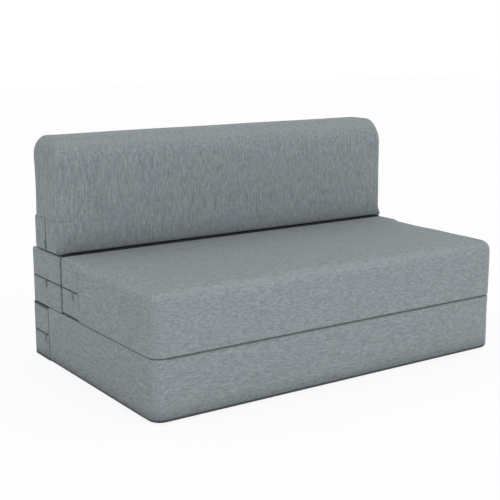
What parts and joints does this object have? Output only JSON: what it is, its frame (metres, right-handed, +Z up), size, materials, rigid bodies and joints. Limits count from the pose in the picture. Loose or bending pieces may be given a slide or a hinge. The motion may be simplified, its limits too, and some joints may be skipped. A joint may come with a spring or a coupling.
{
  "type": "futon sofa bed",
  "caption": "Frameless fold-out sofa bed of zipped foam cushions in blue-grey woven cloth, joined by sewn hinges so that it opens into a flat bed.",
  "frame": {"origin": "on the floor, under the middle of the base cushion", "axes": "+Z up, +X along the width, -Y is the side that the sofa faces"},
  "size_m": [1.2359, 0.756, 0.685],
  "materials": {
    "cover_cloth": "matte",
    "boxing_cloth": "matte",
    "foam": "matte",
    "zip_coil": "satin",
    "zip_metal": "satin",
    "hinge_cloth": "matte",
    "non_slip": "matte"
  },
  "bodies": {
    "base": {"base_foam": "foam", "base_cover": "cover_cloth", "base_placket_upper": "boxing_cloth", "base_placket_lower": "boxing_cloth", "base_zip_chain": "zip_coil", "base_zip_stops": "zip_metal", "base_underside": "non_slip", "front_hinge_base_tab": "hinge_cloth", "rear_hinge_base_tab": "hinge_cloth"},
    "seat": {"seat_foam": "foam", "seat_cover": "cover_cloth", "seat_placket_upper": "boxing_cloth", "seat_placket_lower": "boxing_cloth", "seat_zip_chain": "zip_coil", "seat_zip_stops": "zip_metal", "front_hinge_seat_tab": "hinge_cloth", "back_hinge_seat_tab": "hinge_cloth"},
    "rear_block": {"rear_block_foam": "foam", "rear_block_cover": "cover_cloth", "rear_block_placket_upper": "boxing_cloth", "rear_block_placket_lower": "boxing_cloth", "rear_block_zip_chain": "zip_coil", "rear_block_zip_stops": "zip_metal", "rear_hinge_block_tab": "hinge_cloth"},
    "backrest": {"backrest_foam": "foam", "backrest_cover": "cover_cloth", "backrest_placket_rear": "boxing_cloth", "backrest_placket_front": "boxing_cloth", "backrest_zip_chain": "zip_coil", "backrest_zip_stops": "zip_metal", "back_hinge_backrest_tab": "hinge_cloth"},
    "base_slider": {"base_zip_slider": "zip_metal"},
    "base_pull": {"base_zip_pull": "zip_metal"},
    "seat_slider": {"seat_zip_slider": "zip_metal"},
    "seat_pull": {"seat_zip_pull": "zip_metal"},
    "rear_block_slider": {"rear_block_zip_slider": "zip_metal"},
    "rear_block_pull": {"rear_block_zip_pull": "zip_metal"},
    "backrest_slider": {"backrest_zip_slider": "zip_metal"},
    "backrest_pull": {"backrest_zip_pull": "zip_metal"}
  },
  "joints": [
    {"name": "seat_unfold", "type": "hinge", "parent": "base", "child": "seat", "pos_m": [0, -0.379, 0.173], "axis": [1, 0, 0], "range_deg": [0, 180]},
    {"name": "backrest_recline", "type": "hinge", "parent": "seat", "child": "backrest", "pos_m": [0, 0.163, 0.347], "axis": [-1, 0, 0], "range_deg": [0, 90]},
    {"name": "rear_block_flip", "type": "hinge", "parent": "base", "child": "rear_block", "pos_m": [0, 0.379, 0.173], "axis": [-1, 0, 0], "range_deg": [0, 180]},
    {"name": "base_zip_slide", "type": "slide", "parent": "base", "child": "base_slider", "axis": [0, 1, 0], "range_m": [-0.009, 0.075]},
    {"name": "base_zip_pull_swing", "type": "hinge", "parent": "base_slider", "child": "base_pull", "pos_m": [-0.6148, 0.29, 0.08325], "axis": [0, 1, 0], "range_deg": [0, 170]},
    {"name": "seat_zip_slide", "type": "slide", "parent": "seat", "child": "seat_slider", "axis": [0, 1, 0], "range_m": [-0.022, 0.062]},
    {"name": "seat_zip_pull_swing", "type": "hinge", "parent": "seat_slider", "child": "seat_pull", "pos_m": [-0.6148, 0.087, 0.2565], "axis": [0, 1, 0], "range_deg": [0, 170]},
    {"name": "rear_block_zip_slide", "type": "slide", "parent": "rear_block", "child": "rear_block_slider", "axis": [0, 1, 0], "range_m": [-0.081, 0.089]},
    {"name": "rear_block_zip_pull_swing", "type": "hinge", "parent": "rear_block_slider", "child": "rear_block_pull", "pos_m": [-0.6148, 0.27, 0.2565], "axis": [0, 1, 0], "range_deg": [0, 170]},
    {"name": "backrest_zip_slide", "type": "slide", "parent": "backrest", "child": "backrest_slider", "axis": [0, 0, 1], "range_m": [0, 0.057]},
    {"name": "backrest_zip_pull_swing", "type": "hinge", "parent": "backrest_slider", "child": "backrest_pull", "pos_m": [-0.6188, 0.256, 0.378], "axis": [0, 1, 0], "range_deg": [0, 170]}
  ],
  "couplings": [
    {"joint": "backrest_recline", "follows": "seat_unfold", "ratio": 0.5},
    {"joint": "rear_block_flip", "follows": "seat_unfold", "ratio": 1}
  ]
}
